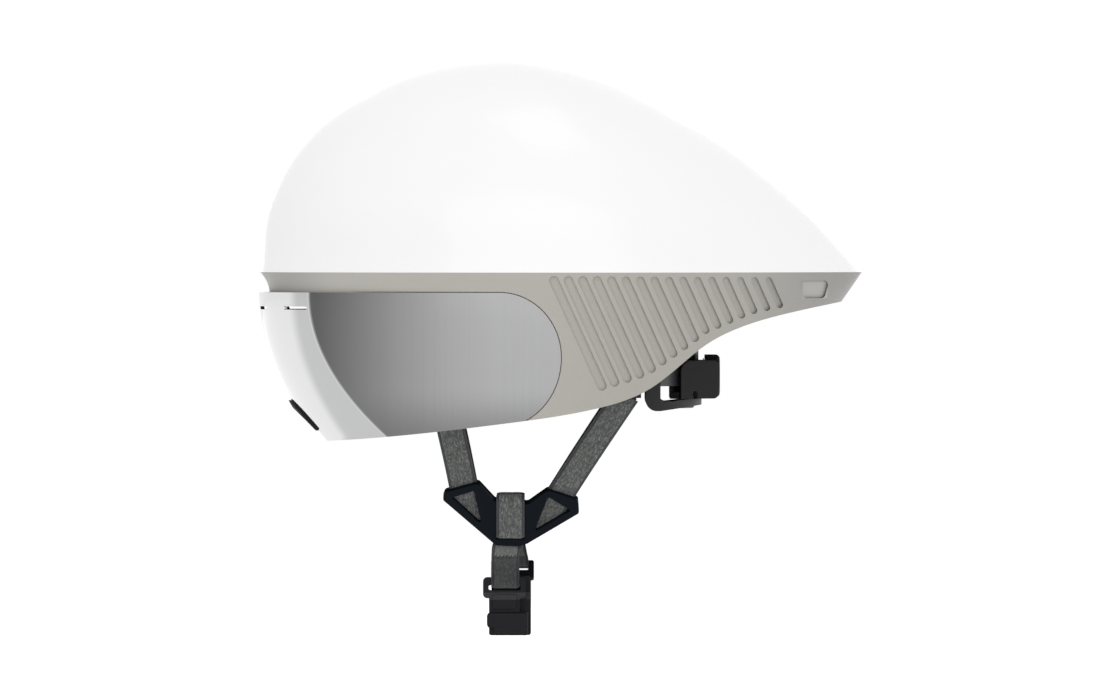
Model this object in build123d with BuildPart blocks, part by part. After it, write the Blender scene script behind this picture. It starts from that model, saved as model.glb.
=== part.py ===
from build123d import *
from math import asin, atan2, cos, degrees, pi, radians, sin, sqrt
import os

# Aero time trial helmet. Sizes are in millimetres.
# X runs back to the tail, Y to the wearer's right and Z up. The origin is the middle of the
# head cavity, on the belt line where the upper and the lower shell meet.

# Driving sizes of the outside, seen from the side and from above
nose_reach = 127.4
tail_reach = 185.6
crown_height = 113.9
half_width = 103.0
crown_x = 3.0
widest_x = 25.0
rim_depth = 87.4
crown_front_power = 2.15
crown_rear_power = 1.9
tail_taper_share = 0.72
tail_taper_power = 1.8
tail_round_power = 9
dome_turns = (0, 12, 24, 36, 48, 58, 67, 75, 82)
side_draw = 8.0
side_draw_power = 1.5
tail_draw = 60.6
form_depth_shares = (0.2, 0.46, 0.73, 1.06)

# Walls, gaps and cutters
upper_wall = 1.5
lower_wall = 3.8
seat_gap = 0.3
running_gap = 0.05
overrun = 4.0
tail_inset_share = 1.6

# Lower edge of the shells in the side view, as shares of tail_reach and rim_depth
rim_shares = [
    (-0.760, -1.016), (-0.496, -1.000), (-0.237, -0.952), (0.014, -0.887), (0.266, -0.797),
    (0.393, -0.700), (0.493, -0.541), (0.560, -0.428), (0.686, -0.303), (0.8125, -0.232),
    (0.944, -0.175), (1.130, -0.090),
]

# Visor lens, the brow behind it and the nose notch
visor_wall = 1.8
visor_gap = 0.5
visor_top = 10.4
visor_proud = 0.6
visor_sweep = 30.1
visor_sweep_power = 1.83
visor_turn_x = -2.6
visor_end_length = 31.7
visor_end_drop = 33.3
visor_end_rise = 35.8
visor_tail_run = 22.0
brow_drop = 9.5
brow_setback = 5.5
notch_centre_depth = 95.0
notch_half_width = 30.0
notch_apex_depth = 66.6
vent_depth = 18.5
vent_height = 1.6
vent_width = 15.5
vent_spacings = (16.0, 48.5)

# Face opening behind the visor
opening_top = 17.5
opening_back = 64.0
opening_side = 50.0
opening_bottom_back = 46.0
opening_knee_depth = 44.0
opening_radius = 14.0

# Slanted grooves and the sunk pocket by the tail
groove_count = 16
groove_start_x = 25.5
groove_pitch = 7.4
groove_top_depth = 4.2
groove_slant = 24.5
groove_width_first = 4.9
groove_width_last = 3.4
groove_depth = 1.2
groove_margin_first = 11.0
groove_margin_last = 5.7
pocket_x = 160.2
pocket_top_length = 16.2
pocket_bottom_length = 11.0
pocket_top_depth = 4.2
pocket_height = 9.3
pocket_radius = 2.4
pocket_sink = 1.0

# Head cavity in the liner
cavity_half_length = 101.0
cavity_half_width = 85.0
cavity_height = 92.0
rim_lip = 1.8
floor_wall = 1.5
floor_start_x = 88.0


def level_outline(level, front, rear, half, wide):
    """Plan outline at one level: a quarter ellipse for the nose, a tapering tail behind it."""
    nose_steps = 6
    tail_steps = 8
    points = []
    for step in range(nose_steps):
        turn = radians(90 * step / nose_steps)
        points.append((wide - (wide + front) * cos(turn), half * sin(turn)))
    for step in range(tail_steps + 1):
        share = sin(radians(90 * step / tail_steps))
        taper = 1 - tail_taper_share * share**tail_taper_power
        points.append((wide + (rear - wide) * share, half * taper * sqrt(1 - share**tail_round_power)))
    points += [(x, -y) for x, y in reversed(points[1:-1])]
    with BuildSketch(Plane.XY.offset(level)) as outline:
        with BuildLine():
            Spline(points, periodic=True)
        make_face()
    return outline.sketch


def dome(inset):
    """Everything of the helmet above the belt line, drawn in by one inset all round."""
    height = crown_height - inset
    rear = tail_reach - tail_inset_share * inset
    outlines = []
    for turn in dome_turns:
        share = sin(radians(turn))
        front_reach = (1 - share**crown_front_power) ** (1 / crown_front_power)
        rear_reach = (1 - share) ** (1 / crown_rear_power)
        outlines.append(level_outline(
            height * share,
            (crown_x + nose_reach - inset) * front_reach - crown_x,
            crown_x + (rear - crown_x) * rear_reach,
            (half_width - inset) * cos(radians(turn)),
            widest_x - (widest_x - crown_x) * share**2,
        ))
    with BuildPart() as form:
        loft(sections=[*outlines, Vertex(crown_x, 0, height)])
    return form.part


def half_width_at(depth):
    return half_width - side_draw * (depth / rim_depth) ** side_draw_power


def visor_nose_at(depth):
    share = max(0, depth - visor_top) / (rim_depth - visor_top)
    return nose_reach + visor_proud - visor_sweep * share**visor_sweep_power


form_depths = [share * rim_depth for share in form_depth_shares]


def lower_form(inset):
    """Everything below the belt line before its edge is cut: brow, sides and drawn-in tail."""
    outlines = []
    for depth in [0, brow_drop, *form_depths]:
        front = visor_nose_at(depth) - brow_setback if depth else nose_reach
        rear = tail_reach - tail_draw * depth / rim_depth - tail_inset_share * inset
        outlines.append(level_outline(-depth, front - inset, rear, half_width_at(depth) - inset, widest_x))
    with BuildPart() as form:
        loft(sections=outlines)
    return form.part


def visor_form(inset):
    """The space inside the visor's outer face, straight-sided behind its widest place."""
    outlines = []
    for depth in [visor_top - overrun, *form_depths]:
        half = half_width_at(depth) - inset
        back = widest_x + visor_tail_run
        with BuildSketch(Plane.XY.offset(-depth)) as outline:
            with BuildLine():
                reach = widest_x + visor_nose_at(depth) - inset
                EllipticalCenterArc((widest_x, 0), reach, half, 90, arc_size=180)
                Polyline((widest_x, -half), (back, -half), (back, half), (widest_x, half))
            make_face()
        outlines.append(outline.sketch)
    with BuildPart() as form:
        loft(sections=outlines)
    return form.part


def side_prism(sketch):
    """A side-view outline carried right across the helmet."""
    with BuildPart() as prism:
        extrude(sketch, amount=half_width + overrun, both=True)
    return prism.part


def above_rim(lift):
    """All that lies above the shells' lower edge, with that edge lifted."""
    points = [(x * tail_reach, z * rim_depth + lift) for x, z in rim_shares]
    top = crown_height + overrun
    with BuildSketch(Plane.XZ) as region:
        with BuildLine():
            Spline(points)
            Polyline(points[-1], (points[-1][0], top), (points[0][0], top), points[0])
        make_face()
    return side_prism(region.sketch)


def rim_height(x):
    """Height of the shells' lower edge at one place along the helmet."""
    points = [(a * tail_reach, b * rim_depth) for a, b in rim_shares]
    for (x1, z1), (x2, z2) in zip(points, points[1:]):
        if x <= x2:
            return z1 + (z2 - z1) * (x - x1) / (x2 - x1)
    return points[-1][1]


def visor_side(gap):
    """Side-view outline of the visor, open to the front and below, grown by a gap."""
    far = -nose_reach - visor_sweep
    low = -rim_depth - 2 * overrun
    middle = -visor_top - visor_end_drop
    length = visor_end_length + gap
    with BuildSketch(Plane.XZ) as side:
        with BuildLine():
            rise = visor_end_drop + gap
            drop = visor_end_rise + gap
            Line((far, middle + rise), (visor_turn_x, middle + rise))
            EllipticalCenterArc((visor_turn_x, middle), length, rise, 0, arc_size=90)
            EllipticalCenterArc((visor_turn_x, middle), length, drop, 270, arc_size=90)
            Polyline((visor_turn_x, middle - drop), (visor_turn_x, low), (far, low), (far, middle + rise))
        make_face()
    return side_prism(side.sketch)


def notch_arch(half, apex_depth, centre_depth):
    """Arch of the nose notch, seen from the front and carried back through the lens."""
    with BuildPart() as arch:
        with BuildSketch(Plane.YZ.offset(-nose_reach - visor_sweep)):
            with Locations((0, -centre_depth)):
                Ellipse(half, centre_depth - apex_depth)
        extrude(amount=nose_reach)
    return arch.part


def groove_end(x_top):
    """Length of a groove that starts at the belt line and stops short of the lower edge."""
    share = (x_top - groove_start_x) / ((groove_count - 1) * groove_pitch)
    margin = groove_margin_first + (groove_margin_last - groove_margin_first) * share
    low, high = 0, rim_depth
    halvings = 24
    for _ in range(halvings):
        middle = (low + high) / 2
        x = x_top + middle * sin(radians(groove_slant))
        z = -groove_top_depth - middle * cos(radians(groove_slant))
        low, high = (middle, high) if z > rim_height(x) + margin else (low, middle)
    return low


# Side trim: the grooves and the pocket, cut to one depth below the lower shell's face
with BuildSketch(Plane.XZ) as groove_outlines:
    for index in range(groove_count):
        x_top = groove_start_x + index * groove_pitch
        length = groove_end(x_top)
        width = groove_width_first + (groove_width_last - groove_width_first) * index / (groove_count - 1)
        slant = radians(groove_slant)
        centre = (x_top + length / 2 * sin(slant), -groove_top_depth - length / 2 * cos(slant))
        with Locations(Location(centre, groove_slant + 90)):
            SlotCenterToCenter(length, width)
groove_cutter = side_prism(groove_outlines.sketch) - lower_form(groove_depth)

with BuildSketch(Plane.XZ) as pocket_outline:
    with BuildLine():
        pocket_low = -pocket_top_depth - pocket_height
        Polyline(
            (pocket_x - pocket_top_length / 2, -pocket_top_depth),
            (pocket_x + pocket_top_length / 2, -pocket_top_depth),
            (pocket_x + pocket_bottom_length / 2, pocket_low),
            (pocket_x - pocket_bottom_length / 2, pocket_low),
            close=True,
        )
    make_face()
    fillet(pocket_outline.vertices(), pocket_radius)
pocket_cutter = side_prism(pocket_outline.sketch) - lower_form(pocket_sink)

with BuildSketch(Plane.XZ) as opening_outline:
    with BuildLine():
        opening_far = -nose_reach - visor_sweep
        opening_low = -rim_depth - 2 * overrun
        Polyline(
            (opening_far, -opening_top),
            (-opening_back, -opening_top),
            (-opening_side, -opening_knee_depth),
            (-opening_bottom_back, opening_low),
            (opening_far, opening_low),
            close=True,
        )
    make_face()
    opening_corners = opening_outline.vertices().filter_by_position(Axis.X, -opening_back, -opening_side)
    fillet(opening_corners, opening_radius)
face_opening = side_prism(opening_outline.sketch)

visor_recess = visor_side(visor_gap) - visor_form(visor_wall + visor_gap)

# Brow magnets in the shell's front band and the steel plates that they hold on the lens
magnet_radius = 3.0
magnet_length = 2.4
magnet_depth = 14.2
magnet_turns = (-25, 0, 25)
plate_length = 0.6
plate_gap = 0.5


def brow_station(turn, inset):
    """A place on the visor's form at magnet height, facing straight out of its surface."""
    across = half_width_at(magnet_depth) - inset
    along = widest_x + visor_nose_at(magnet_depth) - inset
    place = (widest_x - along * cos(radians(turn)), across * sin(radians(turn)), -magnet_depth)
    outward = (-cos(radians(turn)) / along, sin(radians(turn)) / across, 0)
    return Plane(origin=place, z_dir=outward)


def brow_discs(radius, inset, length):
    with BuildPart() as discs:
        for turn in magnet_turns:
            with BuildSketch(brow_station(turn, inset)):
                Circle(radius)
            extrude(amount=-length)
    return discs.part


magnet_inset = visor_wall + plate_length + plate_gap

# Upper shell: thin glossy dome
with BuildPart() as upper_shell:
    add(dome(0))
    add(dome(upper_wall), mode=Mode.SUBTRACT)

# Lower shell: brow band, sides and tail in one moulding
magnet_seat = brow_setback + magnet_length
with BuildPart() as lower_shell:
    add(lower_form(0))
    add(lower_form(lower_wall), mode=Mode.SUBTRACT)
    add(above_rim(0), mode=Mode.INTERSECT)
    add(face_opening, mode=Mode.SUBTRACT)
    add(visor_recess, mode=Mode.SUBTRACT)
    add(groove_cutter, mode=Mode.SUBTRACT)
    add(pocket_cutter, mode=Mode.SUBTRACT)
    add(brow_discs(magnet_radius, magnet_inset, magnet_seat - magnet_inset), mode=Mode.SUBTRACT)

# Visor lens with its vent slots and nose notch
with BuildPart() as visor_lens:
    add(visor_form(0))
    add(visor_form(visor_wall), mode=Mode.SUBTRACT)
    add(visor_side(0), mode=Mode.INTERSECT)
    add(above_rim(0), mode=Mode.INTERSECT)
    add(notch_arch(notch_half_width, notch_apex_depth, notch_centre_depth), mode=Mode.SUBTRACT)
    with BuildSketch(Plane.YZ.offset(-nose_reach - visor_sweep)):
        for spacing in vent_spacings:
            with Locations((spacing, -vent_depth), (-spacing, -vent_depth)):
                SlotOverall(vent_width, vent_height)
    extrude(amount=nose_reach, mode=Mode.SUBTRACT)

# Nose guard: a soft crescent on the notch's upper edge
guard_proud = 1.5
guard_depth = 3.3
guard_height = 3.6
guard_spread = 3.0
guard_drop = 4.0
with BuildPart() as nose_guard:
    add(visor_form(-guard_proud))
    add(visor_form(guard_depth), mode=Mode.SUBTRACT)
    add(notch_arch(notch_half_width, notch_apex_depth, notch_centre_depth), mode=Mode.INTERSECT)
    add(
        notch_arch(
            notch_half_width + guard_spread,
            notch_apex_depth + guard_height,
            notch_centre_depth + guard_drop,
        ),
        mode=Mode.SUBTRACT,
    )

with BuildPart() as lens_plates:
    add(brow_discs(magnet_radius, visor_wall, plate_length))
    add(visor_lens.part, mode=Mode.SUBTRACT)

with BuildPart() as brow_magnets:
    add(brow_discs(magnet_radius, magnet_inset, magnet_seat - magnet_inset))

# Visor seal: a rubber strip between the brow and the lens
seal_top = 11.4
seal_height = 5.2
seal_back = 78.0
with BuildPart() as visor_seal:
    add(visor_form(visor_wall + seat_gap))
    add(lower_form(0), mode=Mode.SUBTRACT)
    with BuildSketch(Plane.XZ):
        with Locations((-seal_back, -seal_top)):
            Rectangle(nose_reach, seal_height, align=(Align.MAX, Align.MAX))
    extrude(amount=half_width, both=True, mode=Mode.INTERSECT)
    add(brow_discs(magnet_radius + seat_gap, visor_wall, magnet_seat), mode=Mode.SUBTRACT)


def cavity(inset):
    """The space for the head: half an ellipsoid over a straight-sided skirt."""
    length = cavity_half_length - inset
    width = cavity_half_width - inset
    with BuildPart() as ball:
        Sphere(1)
        scale(by=(length, width, cavity_height - inset))
    with BuildPart() as space:
        add(ball.part)
        with BuildSketch():
            Ellipse(length, width)
        extrude(amount=-rim_depth - overrun)
    return space.part


# Cradle frame of reference: the belts run round an upright axis inside the head cavity
cradle_axis_x = 20.0
relief_radius = 84.5
relief_top = 33.0
with BuildPart() as cradle_relief:
    with BuildSketch(Plane.XY.offset(-relief_top)):
        with Locations((cradle_axis_x, 0)):
            Circle(relief_radius)
    extrude(amount=-rim_depth)

# Strap plane: the left webbing and divider lie flat on it, and the right side mirrors them
strap_top_y = 76.0
strap_top_depth = 66.0
strap_end_y = 5.0
strap_end_depth = 157.0
strap_tilt = atan2(strap_top_y - strap_end_y, strap_end_depth - strap_top_depth)
strap_plane = Plane(
    origin=(0, -strap_top_y, -strap_top_depth),
    x_dir=(1, 0, 0),
    z_dir=(0, -cos(strap_tilt), -sin(strap_tilt)),
)


def on_strap(x, z):
    """A side-view place carried onto the strap plane."""
    return (x, (z + strap_top_depth) / cos(strap_tilt))


webbing_width = 14.6
webbing_wall = 1.2
divider_wall = 2.2
layer_gap = 0.2
front_strap_x = -28.2
front_strap_depth = 82.2
front_strap_slope = 0.2056
front_strap_top = 66.0
rear_strap_x = 60.7
rear_strap_depth = 67.2
rear_strap_slope = -0.643
rear_strap_top = 64.5
anchor_width = 16.0
anchor_height = 5.0
anchor_wall = 2.6

# Lower corners of the straps: how far across, as a share of half the width, and how deep
front_strap_corners = [(1, 133.0), (-1, 118.0)]
rear_strap_corners = [(1, 126.5), (-0.525, 137.4), (-1, 131.0)]


def strap_line(x, depth, slope, at_depth):
    """Centre of a strap at one depth in the side view."""
    return (x + slope * (at_depth - depth), -at_depth)


def strap_band(x, depth, slope, top, corners, grow):
    """One run of webbing from its anchor to behind the divider, cut along the divider's edge."""
    half = (webbing_width / 2 + grow) * sqrt(1 + slope**2)
    outline = []
    for share, corner_depth in [(-1, top), (1, top), *corners]:
        centre = strap_line(x, depth, slope, corner_depth)
        outline.append(on_strap(centre[0] + share * half, centre[1]))
    with BuildPart() as band:
        with BuildSketch(strap_plane.offset(-layer_gap - webbing_wall - grow)):
            with BuildLine():
                Polyline(outline, close=True)
            make_face()
        extrude(amount=webbing_wall + 2 * grow)
    return band.part


def strap_anchor(x, depth, slope, top):
    """The moulded bar that holds the top of one strap in the liner."""
    centre = strap_line(x, depth, slope, top)
    with BuildPart() as anchor:
        with BuildSketch(strap_plane.offset(-layer_gap - webbing_wall / 2 - anchor_wall / 2)):
            with Locations(on_strap(*centre)):
                Rectangle(anchor_width, anchor_height, align=(Align.CENTER, Align.MIN))
        extrude(amount=anchor_wall)
    return anchor.part


front_run = (front_strap_x, front_strap_depth, front_strap_slope)
rear_run = (rear_strap_x, rear_strap_depth, rear_strap_slope)

with BuildPart() as front_strap_left:
    add(strap_band(*front_run, front_strap_top, front_strap_corners, 0))
with BuildPart() as rear_strap_left:
    add(strap_band(*rear_run, rear_strap_top, rear_strap_corners, 0))
with BuildPart() as front_strap_right:
    mirror(front_strap_left.part, about=Plane.XZ)
with BuildPart() as rear_strap_right:
    mirror(rear_strap_left.part, about=Plane.XZ)

with BuildPart() as front_strap_anchors:
    add(strap_anchor(*front_run, front_strap_top))
    mirror(about=Plane.XZ)
with BuildPart() as rear_strap_anchors:
    add(strap_anchor(*rear_run, rear_strap_top))
    mirror(about=Plane.XZ)

with BuildPart() as strap_slots:
    add(strap_band(*front_run, front_strap_top, front_strap_corners, seat_gap))
    add(strap_band(*rear_run, rear_strap_top, rear_strap_corners, seat_gap))
    mirror(about=Plane.XZ)

# Stem that the cradle rides up and down on, and the pins that hold it in the liner
stem_radius = 73.9
stem_wall = 1.4
stem_half_width = 8.0
stem_top = 12.0
stem_flange = 12.0
stem_bottom = 62.0
pin_radius = 2.0
pin_spacing = 9.0
pin_length = 14.0
pin_head_radius = 3.2
pin_head_wall = 1.2


def arc_wall(inner, outer, start, end, top, bottom):
    """A wall round the cradle's axis between two angles, from one depth to another."""
    centre = (cradle_axis_x, 0)
    ends = []
    for angle in (start, end):
        turn = radians(angle)
        ends.append([(cradle_axis_x + r * cos(turn), r * sin(turn)) for r in (inner, outer)])
    with BuildPart() as wall:
        with BuildSketch(Plane.XY.offset(-top)):
            with BuildLine():
                CenterArc(centre, inner, start, end - start)
                CenterArc(centre, outer, start, end - start)
                Line(*ends[0])
                Line(*ends[1])
            make_face()
        extrude(amount=top - bottom)
    return wall.part


with BuildPart() as height_stem:
    stem_angle = degrees(asin(stem_half_width / stem_radius))
    add(arc_wall(stem_radius, stem_radius + stem_wall, -stem_angle, stem_angle, stem_top, stem_bottom))
    with BuildSketch(Plane.XY.offset(-stem_top)):
        with Locations((cavity_half_length, 0)):
            Rectangle(
                cavity_half_length - cradle_axis_x - stem_radius - stem_wall / 2,
                2 * stem_half_width,
                align=(Align.MAX, Align.CENTER),
            )
    extrude(amount=-stem_flange)
    add(cavity(0), mode=Mode.INTERSECT)
    pin_places = [(side * pin_spacing / 2, -stem_top - stem_flange / 2) for side in (-1, 1)]
    with BuildSketch(Plane.YZ):
        with Locations(pin_places):
            Circle(pin_radius)
    extrude(amount=tail_reach, mode=Mode.SUBTRACT)

with BuildPart() as stem_pins:
    pin_face = cradle_axis_x + stem_radius - stem_wall / 2
    for radius, length in ((pin_radius, pin_length), (pin_head_radius, -pin_head_wall)):
        with BuildSketch(Plane.YZ.offset(pin_face)):
            with Locations(pin_places):
                Circle(radius)
        extrude(amount=length)

# Foam liner: fills the shells round the head cavity
with BuildPart() as eps_liner:
    add(dome(upper_wall + seat_gap))
    add(lower_form(lower_wall + seat_gap))
    add(above_rim(rim_lip), mode=Mode.INTERSECT)
    add(face_opening, mode=Mode.SUBTRACT)
    add(cavity(0), mode=Mode.SUBTRACT)
    add(cradle_relief.part, mode=Mode.SUBTRACT)
    add(strap_slots.part, mode=Mode.SUBTRACT)
    add(front_strap_anchors.part, mode=Mode.SUBTRACT)
    add(rear_strap_anchors.part, mode=Mode.SUBTRACT)
    add(stem_pins.part, mode=Mode.SUBTRACT)

# Floor panel that closes the tail from below
with BuildPart() as tail_floor:
    add(lower_form(lower_wall + seat_gap))
    add(above_rim(0), mode=Mode.INTERSECT)
    add(above_rim(floor_wall), mode=Mode.SUBTRACT)
    add(cradle_relief.part, mode=Mode.SUBTRACT)
    with BuildSketch(Plane.XZ):
        with Locations((floor_start_x, 0)):
            Rectangle(tail_reach, rim_depth, align=(Align.MIN, Align.MAX))
    extrude(amount=half_width, both=True, mode=Mode.INTERSECT)

# Comfort pads on the cavity's wall
pad_wall = 5.5
brow_pad_back = 58.0
brow_pad_top = 24.0
brow_pad_bottom = 14.0
crown_pad_half_width = 14.0
crown_pad_front = 40.0
crown_pad_back = 50.0
side_pad_front = 30.0
side_pad_back = 40.0
side_pad_top = 46.0
side_pad_bottom = 12.0
rear_pad_half_width = 36.0
rear_pad_top = 42.0
rear_pad_bottom = 8.0


def comfort_pad(low, high):
    """The part of the padding layer that lies between two corners."""
    size = [b - a for a, b in zip(low, high)]
    with BuildPart() as pad:
        add(cavity(seat_gap))
        add(cavity(seat_gap + pad_wall), mode=Mode.SUBTRACT)
        with Locations(low):
            Box(*size, align=(Align.MIN, Align.MIN, Align.MIN), mode=Mode.INTERSECT)
    return pad.part


with BuildPart() as brow_pad:
    add(comfort_pad(
        (-cavity_half_length, -cavity_half_width, -brow_pad_bottom),
        (-brow_pad_back, cavity_half_width, brow_pad_top),
    ))
with BuildPart() as crown_pad:
    add(comfort_pad(
        (-crown_pad_front, -crown_pad_half_width, 0),
        (crown_pad_back, crown_pad_half_width, cavity_height),
    ))
with BuildPart() as side_pad_left:
    add(comfort_pad(
        (-side_pad_front, -cavity_half_width, side_pad_bottom),
        (side_pad_back, 0, side_pad_top),
    ))
with BuildPart() as side_pad_right:
    mirror(side_pad_left.part, about=Plane.XZ)
with BuildPart() as rear_pad:
    add(comfort_pad(
        (0, -rear_pad_half_width, rear_pad_bottom),
        (cavity_half_length, rear_pad_half_width, rear_pad_top),
    ))

# Strap dividers: flat plates with two windows and a slot. Their outline is in shares of the
# plate's length and drop, from its middle and its top edge.
divider_x = 2.9
divider_top = 108.2
divider_length = 71.2
divider_drop = 32.8
divider_radius = 2.4
window_radius = 0.8
divider_shares = [
    (-0.485, -0.150), (-0.237, 0.000), (-0.113, -0.286), (0.128, -0.333), (0.274, -0.111),
    (0.493, -0.270), (0.500, -0.470), (0.120, -0.960), (0.060, -1.000), (-0.106, -0.985),
    (-0.490, -0.260),
]
window_shares = [
    [(-0.427, -0.222), (-0.266, -0.111), (-0.208, -0.667)],
    [(0.274, -0.206), (0.442, -0.429), (0.172, -0.778)],
]
slot_share = -0.860
slot_height = 2.4


def on_divider(share):
    return on_strap(divider_x + share[0] * divider_length, -divider_top + share[1] * divider_drop)


with BuildPart() as strap_divider_left:
    with BuildSketch(strap_plane) as divider_outline:
        with BuildLine():
            Polyline([on_divider(share) for share in divider_shares], close=True)
        make_face()
        fillet(divider_outline.vertices(), divider_radius)
        for window in window_shares:
            with BuildSketch(mode=Mode.PRIVATE) as window_outline:
                with BuildLine():
                    Polyline([on_divider(share) for share in window], close=True)
                make_face()
                fillet(window_outline.vertices(), window_radius)
            add(window_outline.sketch, mode=Mode.SUBTRACT)
        with Locations(on_divider((0, slot_share))):
            Rectangle(webbing_width + 2 * seat_gap, slot_height, mode=Mode.SUBTRACT)
    extrude(amount=divider_wall)
with BuildPart() as strap_divider_right:
    mirror(strap_divider_left.part, about=Plane.XZ)

# Chin webbing: over the divider's top edge, down its face, through the slot and on to the buckle
fold_share = -0.270
seam_depth = 147.0
frame_top = 158.6
far_strap_end = 150.0


def chin_webbing(end_depth):
    """Left chin webbing from its fold over the divider down to one depth."""
    back = -layer_gap - webbing_wall / 2
    face = divider_wall + layer_gap + webbing_wall / 2
    fold = on_divider((0, fold_share))[1] + webbing_wall
    slot = on_divider((0, slot_share))[1]
    end = on_strap(0, -end_depth)[1]
    start_x = divider_x - webbing_width / 2
    across = Plane(
        origin=strap_plane.from_local_coords((start_x, 0, 0)),
        x_dir=strap_plane.y_dir,
        z_dir=(1, 0, 0),
    )
    route = [
        (fold - divider_wall, back), (fold, back), (fold, face), (slot, face), (slot, back), (end, back),
    ]
    with BuildPart() as webbing:
        with BuildSketch(across):
            with BuildLine():
                Polyline([(v, n) for v, n in route])
            trace(line_width=webbing_wall)
        extrude(amount=webbing_width)
    return webbing.part


with BuildPart() as chin_strap_left:
    add(chin_webbing(seam_depth))
with BuildPart() as chin_strap_right:
    mirror(chin_webbing(far_strap_end), about=Plane.XZ)
with BuildPart() as chin_strap_end:
    with BuildSketch(strap_plane.offset(-layer_gap - webbing_wall)):
        with Locations(on_strap(divider_x, -seam_depth)):
            Rectangle(
                webbing_width,
                (frame_top - seam_depth - seat_gap) / cos(strap_tilt),
                align=(Align.CENTER, Align.MAX),
            )
    extrude(amount=webbing_wall)

# Buckle: the tongue half slides forward out of the socket half behind it
buckle_gap = 0.15
tongue_wall = 7.2
socket_wall = 6.4
buckle_radius = 1.2
ladder_x = -0.25
ladder_width = 22.3
ladder_height = 10.9
ladder_radius = 2.2
ladder_window_width = 16.6
ladder_window_height = 2.6
tongue_waist_width = 16.1
tongue_block_x = 0.75
tongue_block_width = 20.3
tongue_block_top = 176.8
tongue_block_height = 8.3
tongue_block_rise = 2.2
tongue_block_edge = 0.9
tongue_lip_x = 3.15
tongue_lip_width = 17.7
tongue_lip_height = 12.0
buckle_bottom = 188.8
socket_x = 3.25
socket_width = 20.5
socket_top = 158.0
far_frame_width = 22.3
far_frame_x = 3.9
rail_depth = 175.0
neck_half = 3.0
neck_length = 1.6
head_half = 5.0
head_length = 1.6
rail_half_length = 6.0
rail_gap = 0.3
magnet_disc_radius = 4.0
magnet_disc_wall = 1.6
grip_width = 12.5
grip_height = 7.6
grip_top = 167.6
grip_wall = 0.7


def facing(y):
    """Upright plane that faces the wearer's left, at one place across the helmet."""
    return Plane(origin=(0, y, 0), x_dir=(1, 0, 0), z_dir=(0, -1, 0))


with BuildPart() as buckle_tongue:
    for x, width, top, height, radius, rise in (
        (ladder_x, ladder_width, frame_top, ladder_height, ladder_radius, 0),
        (ladder_x, tongue_waist_width, frame_top, buckle_bottom - frame_top, buckle_radius, 0),
        (tongue_block_x, tongue_block_width, tongue_block_top, tongue_block_height, ladder_radius, 1),
        (tongue_lip_x, tongue_lip_width, tongue_block_top, tongue_lip_height, buckle_radius, 1),
    ):
        with BuildSketch(facing(-buckle_gap)):
            with Locations((x, -top)):
                RectangleRounded(width, height, radius, align=(Align.CENTER, Align.MAX))
        extrude(amount=tongue_wall + rise * tongue_block_rise)
    fillet(buckle_tongue.faces().sort_by(Axis.Y)[0].edges(), tongue_block_edge)
    with BuildSketch(facing(-buckle_gap)):
        with Locations((ladder_x, -frame_top - ladder_height / 2)):
            RectangleRounded(ladder_window_width, ladder_window_height, ladder_window_height / 3)
    extrude(amount=tongue_wall, mode=Mode.SUBTRACT)
    with BuildSketch(facing(-buckle_gap)):
        with Locations((0, -rail_depth)):
            Rectangle(2 * rail_half_length, 2 * neck_half)
    extrude(amount=-buckle_gap * 2 - neck_length)
    with BuildSketch(facing(buckle_gap + neck_length)):
        with Locations((0, -rail_depth)):
            Rectangle(2 * rail_half_length, 2 * head_half)
    extrude(amount=-head_length)

with BuildPart() as tongue_magnet:
    with BuildSketch(facing(-buckle_gap - tongue_wall / 2 + magnet_disc_wall / 2)):
        with Locations((0, -rail_depth)):
            Circle(magnet_disc_radius)
    extrude(amount=magnet_disc_wall)

with BuildPart() as tongue_body:
    add(buckle_tongue.part)
    add(tongue_magnet.part, mode=Mode.SUBTRACT)

with BuildPart() as tongue_grip:
    with BuildSketch(facing(-buckle_gap - tongue_wall)):
        with Locations((ladder_x, -grip_top)):
            Rectangle(grip_width, grip_height, align=(Align.CENTER, Align.MAX))
    extrude(amount=grip_wall)

with BuildPart() as buckle_socket:
    with BuildSketch(facing(buckle_gap)) as socket_outline:
        with Locations((socket_x, -socket_top)):
            Rectangle(socket_width, buckle_bottom - socket_top, align=(Align.CENTER, Align.MAX))
        fillet(socket_outline.vertices(), buckle_radius)
    extrude(amount=-socket_wall)
    for half, start, length in (
        (neck_half, buckle_gap, neck_length + rail_gap),
        (head_half, buckle_gap + neck_length - rail_gap, head_length + 2 * rail_gap),
    ):
        with BuildSketch(facing(start)):
            with Locations((rail_half_length + rail_gap, -rail_depth)):
                Rectangle(socket_width, 2 * (half + rail_gap), align=(Align.MAX, Align.CENTER))
        extrude(amount=-length, mode=Mode.SUBTRACT)
    with BuildSketch(strap_plane) as far_frame:
        with Locations(on_strap(far_frame_x, -far_strap_end)):
            Rectangle(
                far_frame_width,
                (socket_top - far_strap_end + buckle_radius) / cos(strap_tilt),
                align=(Align.CENTER, Align.MAX),
            )
        fillet(far_frame.vertices(), buckle_radius)
        with Locations(on_strap(far_frame_x, -(far_strap_end + socket_top) / 2)):
            RectangleRounded(
                ladder_window_width,
                ladder_window_height,
                ladder_window_height / 3,
                mode=Mode.SUBTRACT,
            )
    far_plate = extrude(far_frame.sketch, amount=divider_wall, mode=Mode.PRIVATE)
    add(mirror(far_plate, about=Plane.XZ, mode=Mode.PRIVATE))

with BuildPart() as socket_magnet:
    with BuildSketch(facing(buckle_gap + socket_wall - magnet_disc_wall / 2)):
        with Locations((0, -rail_depth)):
            Circle(magnet_disc_radius)
    extrude(amount=magnet_disc_wall)

with BuildPart() as socket_body:
    add(buckle_socket.part)
    add(socket_magnet.part, mode=Mode.SUBTRACT)

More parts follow.
